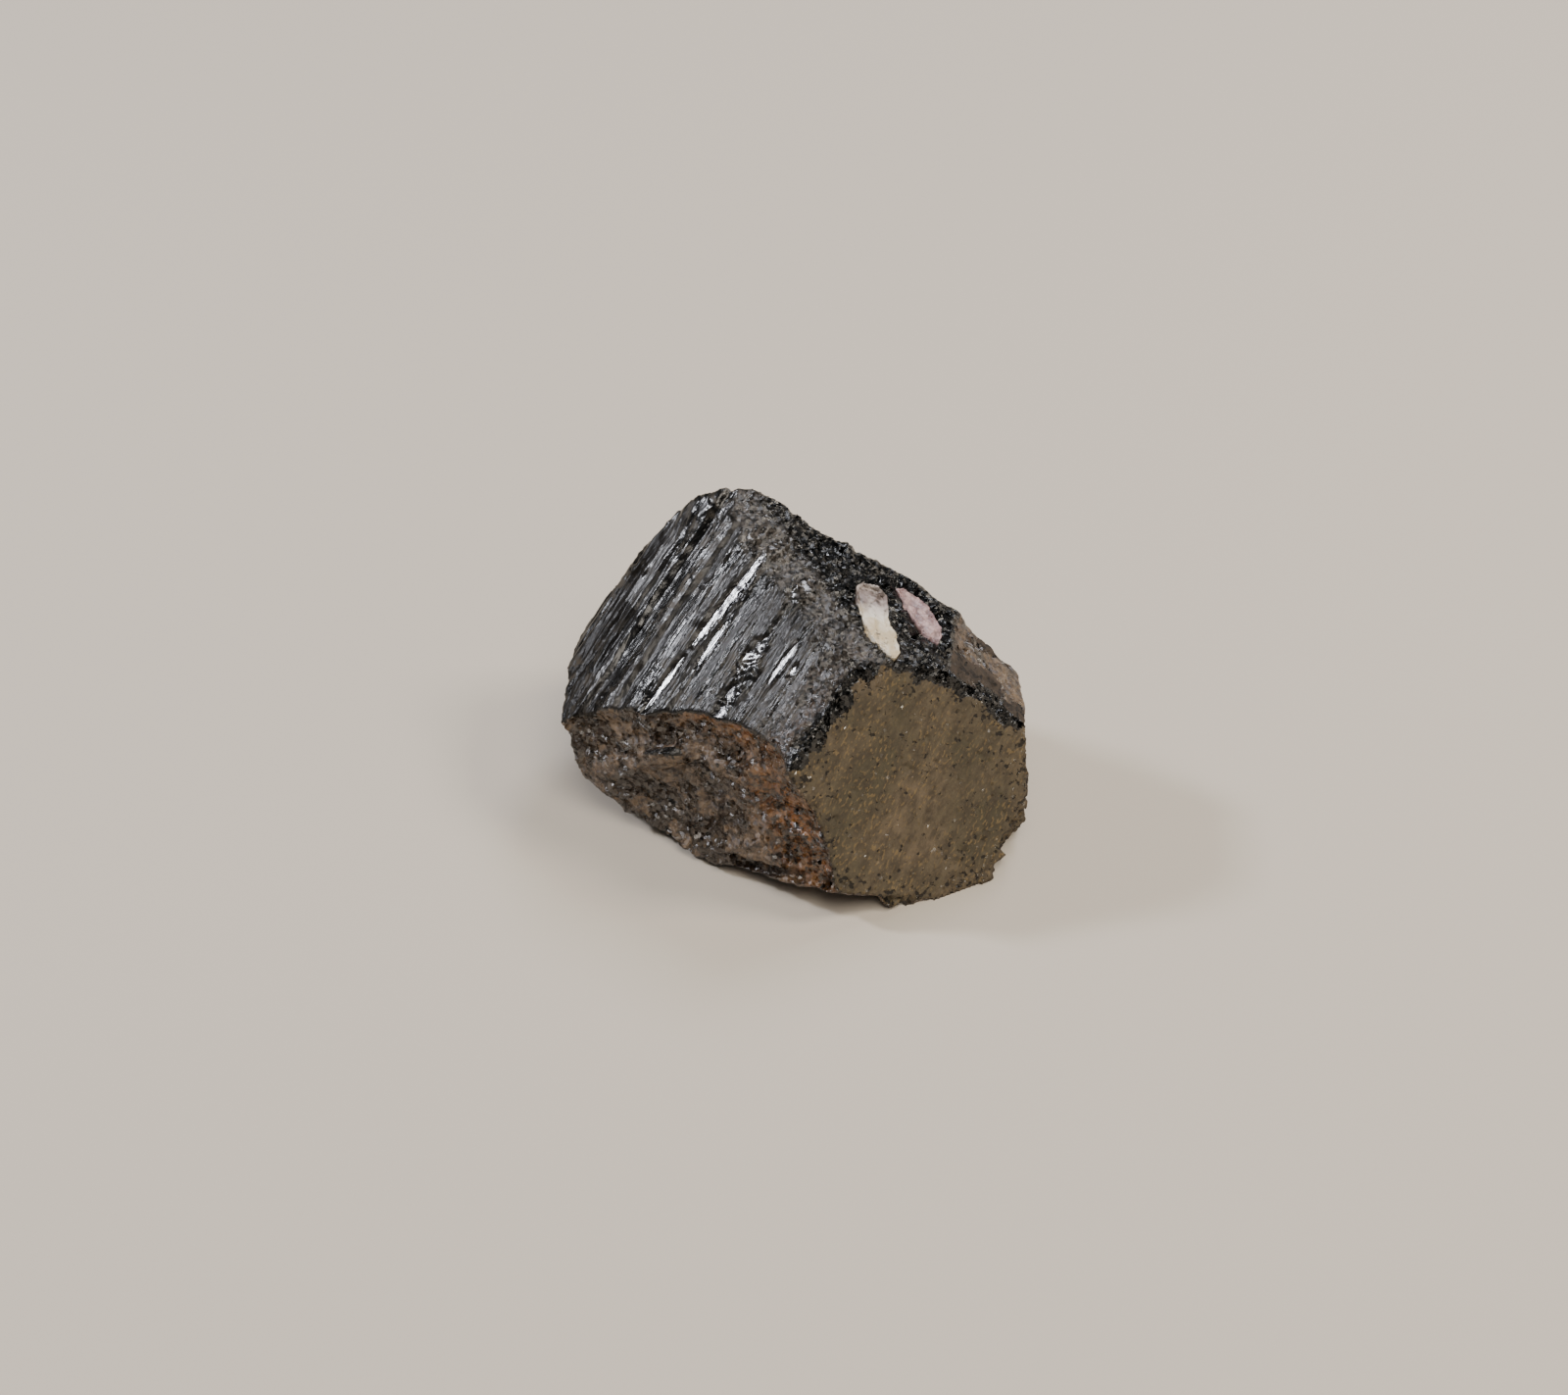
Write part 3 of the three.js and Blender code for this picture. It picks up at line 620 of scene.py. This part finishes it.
def fresh_crystal(name, ior):
    """Stibiotantalite as it grew: near-black, adamantine, lined by growth, crumbly towards its ends."""
    material, tree = new_material(name)
    where = mm_coordinates(tree)
    striated, bevel, glitter, polished, crumbling = (
        add_node(tree, "ShaderNodeAttribute", attribute_name=layer).outputs["Fac"]
        for layer in ("striated", "bevel", "glitter", "polished", "crumbling"))
    growth = add_node(tree, "ShaderNodeAttribute", attribute_name="grain_mm").outputs["Vector"]

    # Growth lines run for several millimetres. They are 0.05 to 0.2 mm apart, drawn 0.2 mm wide to show.
    lined_mm = add_node(tree, "ShaderNodeVectorMath", {
        0: growth, 1: (0.06, 1.0, 0.3)}, operation="MULTIPLY")
    fine_lines = add_node(tree, "ShaderNodeTexNoise", {
        "Vector": lined_mm, "W": 1.0, "Scale": 1 / 0.2, "Detail": 2.0}, noise_dimensions="4D")
    bands = add_node(tree, "ShaderNodeTexNoise", {
        "Vector": lined_mm, "W": 2.0, "Scale": 1 / 1.1, "Detail": 3.0}, noise_dimensions="4D")
    slivers = add_node(tree, "ShaderNodeTexVoronoi", {"Vector": lined_mm, "Scale": 1 / 0.22})
    one_sliver = add_node(tree, "ShaderNodeSeparateColor", {"Color": slivers.outputs["Color"]}).outputs

    # Crust, crumbs and chips have no direction: flecks 0.8 mm wide in patches, crumbs of 0.26 mm.
    flecks = add_node(tree, "ShaderNodeTexNoise", {
        "Vector": where, "W": 3.0, "Scale": 1 / 0.8, "Detail": 4.0, "Roughness": 0.65
    }, noise_dimensions="4D")
    patches = add_node(tree, "ShaderNodeTexNoise", {
        "Vector": where, "W": 4.0, "Scale": 1 / 3.4, "Detail": 3.0}, noise_dimensions="4D")
    crumbs = add_node(tree, "ShaderNodeTexNoise", {
        "Vector": where, "W": 5.0, "Scale": 1 / 0.26, "Detail": 3.0, "Roughness": 0.6
    }, noise_dimensions="4D")
    grains = add_node(tree, "ShaderNodeTexVoronoi", {"Vector": where, "Scale": 1 / 0.3})
    one_grain = add_node(tree, "ShaderNodeSeparateColor", {"Color": grains.outputs["Color"]}).outputs

    band_share = add_node(tree, "ShaderNodeMapRange", {
        "Value": bands, "From Min": 0.42, "From Max": 0.58})
    lined_body = add_node(tree, "ShaderNodeMix", {
        "Factor": band_share, "A": linear("#080706"), "B": linear("#171411")}, data_type="RGBA")
    fleck_share = add_node(tree, "ShaderNodeMapRange", {
        "Value": flecks, "From Min": 0.5, "From Max": 0.62})
    patch_share = add_node(tree, "ShaderNodeMapRange", {
        "Value": patches, "From Min": 0.42, "From Max": 0.6})
    crust_share = add_node(tree, "ShaderNodeMath", {0: fleck_share, 1: patch_share}, operation="MULTIPLY")
    lined_body = add_node(tree, "ShaderNodeMix", {
        "Factor": crust_share, "A": lined_body, "B": linear("#4a4339")}, data_type="RGBA")
    crumb_share = add_node(tree, "ShaderNodeMapRange", {
        "Value": crumbs, "From Min": 0.42, "From Max": 0.6})
    bevel_body = add_node(tree, "ShaderNodeMix", {
        "Factor": crumb_share, "A": linear("#161411"), "B": linear("#5e5852")}, data_type="RGBA")
    crumbling_body = add_node(tree, "ShaderNodeMix", {
        "Factor": crumb_share, "A": linear("#100d0b"), "B": linear("#493a2e")}, data_type="RGBA")
    body = add_node(tree, "ShaderNodeMix", {
        "Factor": bevel, "A": lined_body, "B": bevel_body}, data_type="RGBA")
    body = add_node(tree, "ShaderNodeMix", {
        "Factor": crumbling, "A": body, "B": crumbling_body}, data_type="RGBA")
    body = add_node(tree, "ShaderNodeMix", {
        "Factor": glitter, "A": body, "B": linear("#090908")}, data_type="RGBA")

    # Black bands are glassy, the grey ones between them are dulled by fine lines and crust.
    band_gloss = add_node(tree, "ShaderNodeMapRange", {
        "Value": band_share, "To Min": 0.02, "To Max": 0.16})
    sliver_gloss = add_node(tree, "ShaderNodeMapRange", {
        "Value": one_sliver["Blue"], "To Min": 0.13, "To Max": 0.26})
    lined_gloss = add_node(tree, "ShaderNodeMath", {0: sliver_gloss, 1: band_gloss}, operation="ADD")
    grain_gloss = add_node(tree, "ShaderNodeMapRange", {
        "Value": one_grain["Blue"], "To Min": 0.14, "To Max": 0.48})
    brilliance = add_node(tree, "ShaderNodeMapRange", {"Value": glitter, "To Min": 1.0, "To Max": 0.55})
    grain_gloss = add_node(tree, "ShaderNodeMath", {0: grain_gloss, 1: brilliance}, operation="MULTIPLY")
    gloss = add_node(tree, "ShaderNodeMix", {"Factor": striated, "A": grain_gloss, "B": lined_gloss})
    crust_gloss = add_node(tree, "ShaderNodeMath", {
        0: crust_share, 1: 0.3, 2: gloss}, operation="MULTIPLY_ADD")
    gloss = add_node(tree, "ShaderNodeMix", {"Factor": polished, "A": crust_gloss, "B": 0.15})

    calm = add_node(tree, "ShaderNodeMapRange", {"Value": polished, "To Min": 1.0, "To Max": 0.2})
    line_strength = add_node(tree, "ShaderNodeMapRange", {"Value": striated, "To Max": 1.7})
    line_height = add_node(tree, "ShaderNodeMath", {
        0: fine_lines, 1: line_strength}, operation="MULTIPLY")
    crumb_strength = add_node(tree, "ShaderNodeMapRange", {
        "Value": striated, "To Min": 0.9, "To Max": 0.25})
    all_height = add_node(tree, "ShaderNodeMath", {
        0: crumbs, 1: crumb_strength, 2: line_height}, operation="MULTIPLY_ADD")
    all_height = add_node(tree, "ShaderNodeMath", {0: all_height, 1: calm}, operation="MULTIPLY")
    relief = add_node(tree, "ShaderNodeBump", {
        "Height": all_height, "Strength": 0.9, "Distance": 0.12 * MM})
    chip_colour = add_node(tree, "ShaderNodeMix", {
        "Factor": striated, "A": grains.outputs["Color"], "B": slivers.outputs["Color"]
    }, data_type="RGBA")
    tilt = add_node(tree, "ShaderNodeMapRange", {"Value": striated, "To Min": 0.42, "To Max": 0.07})
    tilt = add_node(tree, "ShaderNodeMath", {0: glitter, 1: 0.55, 2: tilt}, operation="MULTIPLY_ADD")
    tilt = add_node(tree, "ShaderNodeMath", {0: tilt, 1: calm}, operation="MULTIPLY")
    shader = add_node(tree, "ShaderNodeBsdfPrincipled", {
        "Base Color": body, "Roughness": gloss, "IOR": ior,
        "Normal": tipped(tree, relief, chip_colour, tilt)})
    add_node(tree, "ShaderNodeOutputMaterial", {"Surface": shader})
    return material


def broken_crystal():
    """Stibiotantalite where it broke: brown to black, greasy rather than bright, full of small chips."""
    material, tree = new_material("broken_stibiotantalite")
    where = mm_coordinates(tree)
    rusty = add_node(tree, "ShaderNodeAttribute", attribute_name="rust").outputs["Fac"]

    # Flecks are 0.55 mm wide and clouds 2.4 mm. The grain, finer than 0.1 mm, is drawn as crumbs of
    # 0.24 mm and chips of 0.32 mm, to show.
    flecks = add_node(tree, "ShaderNodeTexNoise", {
        "Vector": where, "W": 41.0, "Scale": 1 / 0.55, "Detail": 4.0, "Roughness": 0.68
    }, noise_dimensions="4D")
    clouds = add_node(tree, "ShaderNodeTexNoise", {
        "Vector": where, "W": 42.0, "Scale": 1 / 2.4, "Detail": 4.0, "Roughness": 0.6
    }, noise_dimensions="4D")
    crumbs = add_node(tree, "ShaderNodeTexNoise", {
        "Vector": where, "W": 43.0, "Scale": 1 / 0.24, "Detail": 3.0, "Roughness": 0.6
    }, noise_dimensions="4D")
    grains = add_node(tree, "ShaderNodeTexVoronoi", {"Vector": where, "Scale": 1 / 0.32})
    one_grain = add_node(tree, "ShaderNodeSeparateColor", {"Color": grains.outputs["Color"]}).outputs

    fleck_share = add_node(tree, "ShaderNodeMapRange", {
        "Value": flecks, "From Min": 0.4, "From Max": 0.6})
    body = add_node(tree, "ShaderNodeMix", {
        "Factor": fleck_share, "A": linear("#2b1e15"), "B": linear("#766048")}, data_type="RGBA")
    cloud_share = add_node(tree, "ShaderNodeMapRange", {
        "Value": clouds, "From Min": 0.46, "From Max": 0.52, "To Max": 0.85})
    body = add_node(tree, "ShaderNodeMix", {
        "Factor": cloud_share, "A": body, "B": linear("#261c14")}, data_type="RGBA")
    rust_share = add_node(tree, "ShaderNodeMapRange", {
        "Value": flecks, "From Min": 0.43, "From Max": 0.56, "To Max": 1.0})
    rust_share = add_node(tree, "ShaderNodeMath", {0: rusty, 1: rust_share}, operation="MULTIPLY")
    rust_body = add_node(tree, "ShaderNodeMix", {
        "Factor": one_grain["Red"], "A": linear("#704020"), "B": linear("#a57038")}, data_type="RGBA")
    body = add_node(tree, "ShaderNodeMix", {
        "Factor": rust_share, "A": body, "B": rust_body}, data_type="RGBA")
    pale_share = add_node(tree, "ShaderNodeMapRange", {
        "Value": one_grain["Green"], "From Min": 0.88, "From Max": 0.94, "To Max": 0.4})
    body = add_node(tree, "ShaderNodeMix", {
        "Factor": pale_share, "A": body, "B": linear("#82705a")}, data_type="RGBA")
    all_height = add_node(tree, "ShaderNodeMath", {0: crumbs, 1: flecks}, operation="ADD")
    relief = add_node(tree, "ShaderNodeBump", {
        "Height": all_height, "Strength": 0.9, "Distance": 0.12 * MM})

    # The black patches are the freshest, and their chips stand at every angle and flash.
    gloss = add_node(tree, "ShaderNodeMapRange", {
        "Value": one_grain["Blue"], "To Min": 0.18, "To Max": 0.7})
    gloss = add_node(tree, "ShaderNodeMix", {"Factor": cloud_share, "A": gloss, "B": 0.2})
    tilt = add_node(tree, "ShaderNodeMapRange", {"Value": cloud_share, "To Min": 0.5, "To Max": 1.0})
    shader = add_node(tree, "ShaderNodeBsdfPrincipled", {
        "Base Color": body, "Roughness": gloss, "IOR": 1.85,
        "Normal": tipped(tree, relief, grains.outputs["Color"], tilt)})
    add_node(tree, "ShaderNodeOutputMaterial", {"Surface": shader})
    return material


def weathered_crust():
    """The weathered skin of the flat end and the sides: matte olive brown, ochre specks, dark pits."""
    material, tree = new_material("weathered_stibiotantalite")
    where = mm_coordinates(tree)
    flat_end, rim, near_edge, upper_left = (
        add_node(tree, "ShaderNodeAttribute", attribute_name=layer).outputs["Fac"]
        for layer in ("flat_end", "rim", "near_edge", "upper_left"))
    streak_mm = add_node(tree, "ShaderNodeAttribute", attribute_name="streak_mm").outputs["Vector"]
    streaked = add_node(tree, "ShaderNodeVectorMath", {
        0: streak_mm, 1: (0.5, 1.0, 1.0)}, operation="MULTIPLY")

    # Clouds are 4.5 mm wide, mottle 0.8 mm, and the pits 0.42 mm. The ochre specks, about 0.1 mm, are
    # drawn 0.21 mm wide to show, and twice as long along the streaks.
    clouds = add_node(tree, "ShaderNodeTexNoise", {
        "Vector": where, "W": 11.0, "Scale": 1 / 4.5, "Detail": 4.0}, noise_dimensions="4D")
    mottle = add_node(tree, "ShaderNodeTexNoise", {
        "Vector": streaked, "W": 12.0, "Scale": 1 / 0.8, "Detail": 4.0, "Roughness": 0.65
    }, noise_dimensions="4D")
    specks = add_node(tree, "ShaderNodeTexNoise", {
        "Vector": streaked, "W": 13.0, "Scale": 1 / 0.21, "Detail": 2.0}, noise_dimensions="4D")
    speck_fields = add_node(tree, "ShaderNodeTexNoise", {
        "Vector": where, "W": 14.0, "Scale": 1 / 2.6, "Detail": 2.0}, noise_dimensions="4D")
    pits = add_node(tree, "ShaderNodeTexNoise", {
        "Vector": where, "W": 15.0, "Scale": 1 / 0.42, "Detail": 2.0}, noise_dimensions="4D")
    grains = add_node(tree, "ShaderNodeTexVoronoi", {"Vector": where, "Scale": 1 / 0.2})
    one_grain = add_node(tree, "ShaderNodeSeparateColor", {"Color": grains.outputs["Color"]}).outputs

    cloud_share = add_node(tree, "ShaderNodeMapRange", {
        "Value": clouds, "From Min": 0.35, "From Max": 0.65})
    flat_body = add_node(tree, "ShaderNodeMix", {
        "Factor": cloud_share, "A": linear("#524b39"), "B": linear("#6f614d")}, data_type="RGBA")
    # Painted shade: the flat end is painted darker towards its upper left.
    painted_shade_share = add_node(tree, "ShaderNodeMath", {0: upper_left, 1: 0.55}, operation="MULTIPLY")
    flat_body = add_node(tree, "ShaderNodeMix", {
        "Factor": painted_shade_share, "A": flat_body, "B": linear("#3b362b")}, data_type="RGBA")
    mottle_share = add_node(tree, "ShaderNodeMapRange", {
        "Value": mottle, "From Min": 0.42, "From Max": 0.6, "To Max": 0.75})
    flat_body = add_node(tree, "ShaderNodeMix", {
        "Factor": mottle_share, "A": flat_body, "B": linear("#443b2f")}, data_type="RGBA")
    speck_share = add_node(tree, "ShaderNodeMapRange", {
        "Value": specks, "From Min": 0.55, "From Max": 0.62, "To Max": 0.7})
    field_share = add_node(tree, "ShaderNodeMapRange", {
        "Value": speck_fields, "From Min": 0.36, "From Max": 0.55, "To Min": 0.2})
    ochre_share = add_node(tree, "ShaderNodeMath", {0: speck_share, 1: field_share}, operation="MULTIPLY")
    flat_body = add_node(tree, "ShaderNodeMix", {
        "Factor": ochre_share, "A": flat_body, "B": linear("#86714c")}, data_type="RGBA")
    side_share = add_node(tree, "ShaderNodeMapRange", {
        "Value": mottle, "From Min": 0.35, "From Max": 0.65})
    side_body = add_node(tree, "ShaderNodeMix", {
        "Factor": side_share, "A": linear("#211a13"), "B": linear("#4b3f33")}, data_type="RGBA")
    body = add_node(tree, "ShaderNodeMix", {
        "Factor": flat_end, "A": side_body, "B": flat_body}, data_type="RGBA")

    # Dark pits are scattered over the flat end and crowd at its rim.
    pit_level = add_node(tree, "ShaderNodeMath", {
        0: near_edge, 1: 0.1, 2: pits}, operation="MULTIPLY_ADD")
    pit_share = add_node(tree, "ShaderNodeMapRange", {
        "Value": pit_level, "From Min": 0.64, "From Max": 0.7, "To Max": 0.88})
    body = add_node(tree, "ShaderNodeMix", {
        "Factor": pit_share, "A": body, "B": linear("#15110d")}, data_type="RGBA")
    speck_height = add_node(tree, "ShaderNodeMath", {0: mottle, 1: specks}, operation="ADD")
    all_height = add_node(tree, "ShaderNodeMath", {0: speck_height, 1: pit_share}, operation="SUBTRACT")
    relief = add_node(tree, "ShaderNodeBump", {
        "Height": all_height, "Strength": 0.8, "Distance": 0.10 * MM})
    spark = add_node(tree, "ShaderNodeMath", {
        0: rim, 1: 0.12, 2: one_grain["Blue"]}, operation="MULTIPLY_ADD")
    spark = add_node(tree, "ShaderNodeMapRange", {"Value": spark, "From Min": 0.975, "From Max": 0.985})
    gloss = add_node(tree, "ShaderNodeMapRange", {"Value": spark, "To Min": 0.75, "To Max": 0.2})
    tilt = add_node(tree, "ShaderNodeMapRange", {"Value": spark, "To Min": 0.1, "To Max": 0.5})
    shader = add_node(tree, "ShaderNodeBsdfPrincipled", {
        "Base Color": body, "Roughness": gloss, "IOR": 1.5,
        "Normal": tipped(tree, relief, grains.outputs["Color"], tilt)})
    add_node(tree, "ShaderNodeOutputMaterial", {"Surface": shader})
    return material


crystal = bpy.data.objects.new("stibiotantalite_crystal_surface", crystal_mesh)
scene.collection.objects.link(crystal)

# The left faces have lost nearly all of their brilliance, and the others keep a part of it.
LIVELY_IOR = 1.62
DULL_IOR = 1.28
for finish in (fresh_crystal("fresh_stibiotantalite", LIVELY_IOR), broken_crystal(), weathered_crust(),
               fresh_crystal("dull_stibiotantalite", DULL_IOR)):
    crystal_mesh.materials.append(finish)

# Each small face takes the finish that has the greatest share of it, with grains of each in the other.
patchy = rough_noise(place / 0.7, 321, 2) + 0.5 * noise(place / 0.3, 331)
dull = share_of("outer_left", "left", "back_left") + (0.54 + 0.03 * along) * share_of("upper_left")
dull = step_up(dull + 0.2 * noise(growth_places(4, 0.4), 341), 0.3, 0.7)
bare = step_up(rough_noise(place / 3.2, 351, 4), -0.45, 0.35)
growth_share = striated + bevel + glitter + bright_rim + 0.3 * patchy
finish_shares = np.stack([
    growth_share * (1 - dull),
    broken + (right_bevel + hidden) * (0.95 - bright_rim) * bare - 0.2 * patchy,
    flat_end * (1 - bright_rim) + (right_bevel + hidden) * (1 - bare),
    growth_share * dull,
], 1)
face_count = len(crystal_mesh.polygons)
face_corners = np.empty(len(crystal_mesh.loops), int)
crystal_mesh.loops.foreach_get("vertex_index", face_corners)
face_starts = np.empty(face_count, int)
crystal_mesh.polygons.foreach_get("loop_start", face_starts)
face_shares = np.add.reduceat(finish_shares[face_corners], face_starts, axis=0)
hackly = np.add.reduceat((glitter + bright_rim)[face_corners], face_starts)
corner_count = np.diff(np.append(face_starts, len(face_corners)))
crystal_mesh.polygons.foreach_set("material_index", face_shares.argmax(axis=1).astype(np.int32))
crystal_mesh.polygons.foreach_set("use_smooth", hackly / corner_count < 0.5)
crystal_mesh.update()
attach(crystal, "root")
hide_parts("stibiotantalite_crystal")


# The cream feldspar flake
# A cleaved sliver of feldspar grown into the top right face: whitish pink at its upper end and
# cream below, with a pearly cleavage face that shows fine steps.
def set_in_grain(node_name, piece_name, sink_mm, grain_mm, relief_mm, size_mm, seed):
    """A set-in grain, a little sunk and roughened like cleaved mineral."""
    mesh = close_mesh(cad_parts[node_name], grain_mm)
    spot = corners_mm(mesh)
    facing_out = spread(corner_normals(mesh), edge_ends(mesh), 4)
    facing_out /= np.linalg.norm(facing_out, axis=1)[:, None]
    top = step_up(facing_out @ face_planes["glitter_top"][0], 0.3, 0.9)
    broken_away = facets(spot, size_mm, seed) * relief_mm
    broken_away += rough_noise(spot / size_mm, seed + 1, 3) * relief_mm * 0.6
    spot = spot + facing_out * (broken_away - sink_mm * top)[:, None]
    mesh.vertices.foreach_set("co", (spot * MM).ravel())
    mesh.update()
    mesh.polygons.foreach_set("use_smooth", np.zeros(len(mesh.polygons), bool))
    piece = bpy.data.objects.new(piece_name, mesh)
    scene.collection.objects.link(piece)
    return piece, spot


def close_on(grain):
    """Moves the crystal's pocket up against a grain that grew inside it, to a hair's breadth."""
    most_closed = 0.9
    whole_up_to_mm = 0.35
    none_from_mm = 0.6
    skin = BVHTree.FromObject(grain, bpy.context.evaluated_depsgraph_get())
    for corner in crystal_mesh.vertices:
        nearest_spot, _, _, gap = skin.find_nearest(corner.co, none_from_mm * MM)
        if nearest_spot is not None:
            faded = (gap / MM - whole_up_to_mm) / (none_from_mm - whole_up_to_mm)
            share = most_closed * (1 - max(0.0, min(1.0, faded)))
            corner.co = corner.co.lerp(nearest_spot, share)
    crystal_mesh.update()


def cleaved_feldspar():
    """Feldspar, cleaved: cream to pinkish white and pearly, with dark grime in its cracks."""
    material, tree = new_material("cleaved_feldspar")
    where = mm_coordinates(tree)
    upper_end = add_node(tree, "ShaderNodeAttribute", attribute_name="upper_end").outputs["Fac"]

    # Clouds are 1.4 mm wide and the patches of grime 0.7 mm.
    clouds = add_node(tree, "ShaderNodeTexNoise", {
        "Vector": where, "W": 21.0, "Scale": 1 / 1.4, "Detail": 3.0}, noise_dimensions="4D")
    grime = add_node(tree, "ShaderNodeTexNoise", {
        "Vector": where, "W": 22.0, "Scale": 1 / 0.7, "Detail": 4.0, "Roughness": 0.65
    }, noise_dimensions="4D")
    cloud_share = add_node(tree, "ShaderNodeMapRange", {
        "Value": clouds, "From Min": 0.42, "From Max": 0.6})
    lower_body = add_node(tree, "ShaderNodeMix", {
        "Factor": cloud_share, "A": linear("#d2c09e"), "B": linear("#f3ecdd")}, data_type="RGBA")
    upper_body = add_node(tree, "ShaderNodeMix", {
        "Factor": cloud_share, "A": linear("#8b7c77"), "B": linear("#cbc0b9")}, data_type="RGBA")
    body = add_node(tree, "ShaderNodeMix", {
        "Factor": upper_end, "A": lower_body, "B": upper_body}, data_type="RGBA")
    grime_level = add_node(tree, "ShaderNodeMath", {
        0: upper_end, 1: 0.09, 2: grime}, operation="MULTIPLY_ADD")
    grime_share = add_node(tree, "ShaderNodeMapRange", {
        "Value": grime_level, "From Min": 0.59, "From Max": 0.68, "To Max": 0.85})
    body = add_node(tree, "ShaderNodeMix", {
        "Factor": grime_share, "A": body, "B": linear("#4a3f35")}, data_type="RGBA")
    relief = add_node(tree, "ShaderNodeBump", {"Height": grime, "Strength": 0.4, "Distance": 0.06 * MM})
    gloss = add_node(tree, "ShaderNodeMapRange", {
        "Value": clouds, "From Min": 0.3, "From Max": 0.7, "To Min": 0.34, "To Max": 0.55})
    shader = add_node(tree, "ShaderNodeBsdfPrincipled", {
        "Base Color": body, "Roughness": gloss, "IOR": 1.53, "Normal": relief})
    add_node(tree, "ShaderNodeOutputMaterial", {"Surface": shader})
    return material


flake, flake_spots = set_in_grain(
    "cream_feldspar_flake", "cream_feldspar_flake_surface",
    sink_mm=0.36, grain_mm=0.12, relief_mm=0.13, size_mm=1.3, seed=401)
flake_along = (flake_spots - glitter_foot) @ glitter_across
keep_on_vertices(flake.data, "upper_end", step_up(flake_along, 0.2, 2.2))
flake.data.materials.append(cleaved_feldspar())
close_on(flake)
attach(flake, "root")
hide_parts("cream_feldspar_flake")


# The lilac mica patch
# A thin book of lithium mica grown into the same face: pale lilac scales, with painted shade in the
# sunken gaps between them, and a soft pearly sheen.
def lilac_mica():
    """Lithium mica, split along its sheets: pale lilac, scaly, pearly."""
    material, tree = new_material("lilac_mica")
    where = mm_coordinates(tree)

    # Scales are 0.5 mm wide and the clouds of colour 1 mm.
    scales = add_node(tree, "ShaderNodeTexVoronoi", {"Vector": where, "Scale": 1 / 0.5})
    clouds = add_node(tree, "ShaderNodeTexNoise", {
        "Vector": where, "W": 31.0, "Scale": 1 / 1.0, "Detail": 4.0, "Roughness": 0.65
    }, noise_dimensions="4D")
    cloud_share = add_node(tree, "ShaderNodeMapRange", {
        "Value": clouds, "From Min": 0.38, "From Max": 0.62})
    body = add_node(tree, "ShaderNodeMix", {
        "Factor": cloud_share, "A": linear("#866a6d"), "B": linear("#ccadaa")}, data_type="RGBA")
    # Painted shade: the sunken gaps between the scales are painted dark.
    scale_gap_shade = add_node(tree, "ShaderNodeMapRange", {
        "Value": scales, "From Min": 0.5, "From Max": 0.8, "To Max": 0.6})
    body = add_node(tree, "ShaderNodeMix", {
        "Factor": scale_gap_shade, "A": body, "B": linear("#574a4c")}, data_type="RGBA")
    relief = add_node(tree, "ShaderNodeBump", {
        "Height": scales, "Strength": 0.6, "Distance": 0.08 * MM}, invert=True)
    gloss = add_node(tree, "ShaderNodeMapRange", {
        "Value": clouds, "From Min": 0.3, "From Max": 0.7, "To Min": 0.3, "To Max": 0.5})
    shader = add_node(tree, "ShaderNodeBsdfPrincipled", {
        "Base Color": body, "Roughness": gloss, "IOR": 1.56, "Normal": relief})
    add_node(tree, "ShaderNodeOutputMaterial", {"Surface": shader})
    return material


patch, _ = set_in_grain(
    "lilac_mica_patch", "lilac_mica_patch_surface",
    sink_mm=0.2, grain_mm=0.12, relief_mm=0.14, size_mm=0.8, seed=421)
patch.data.materials.append(lilac_mica())
close_on(patch)
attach(patch, "root")
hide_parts("lilac_mica_patch")
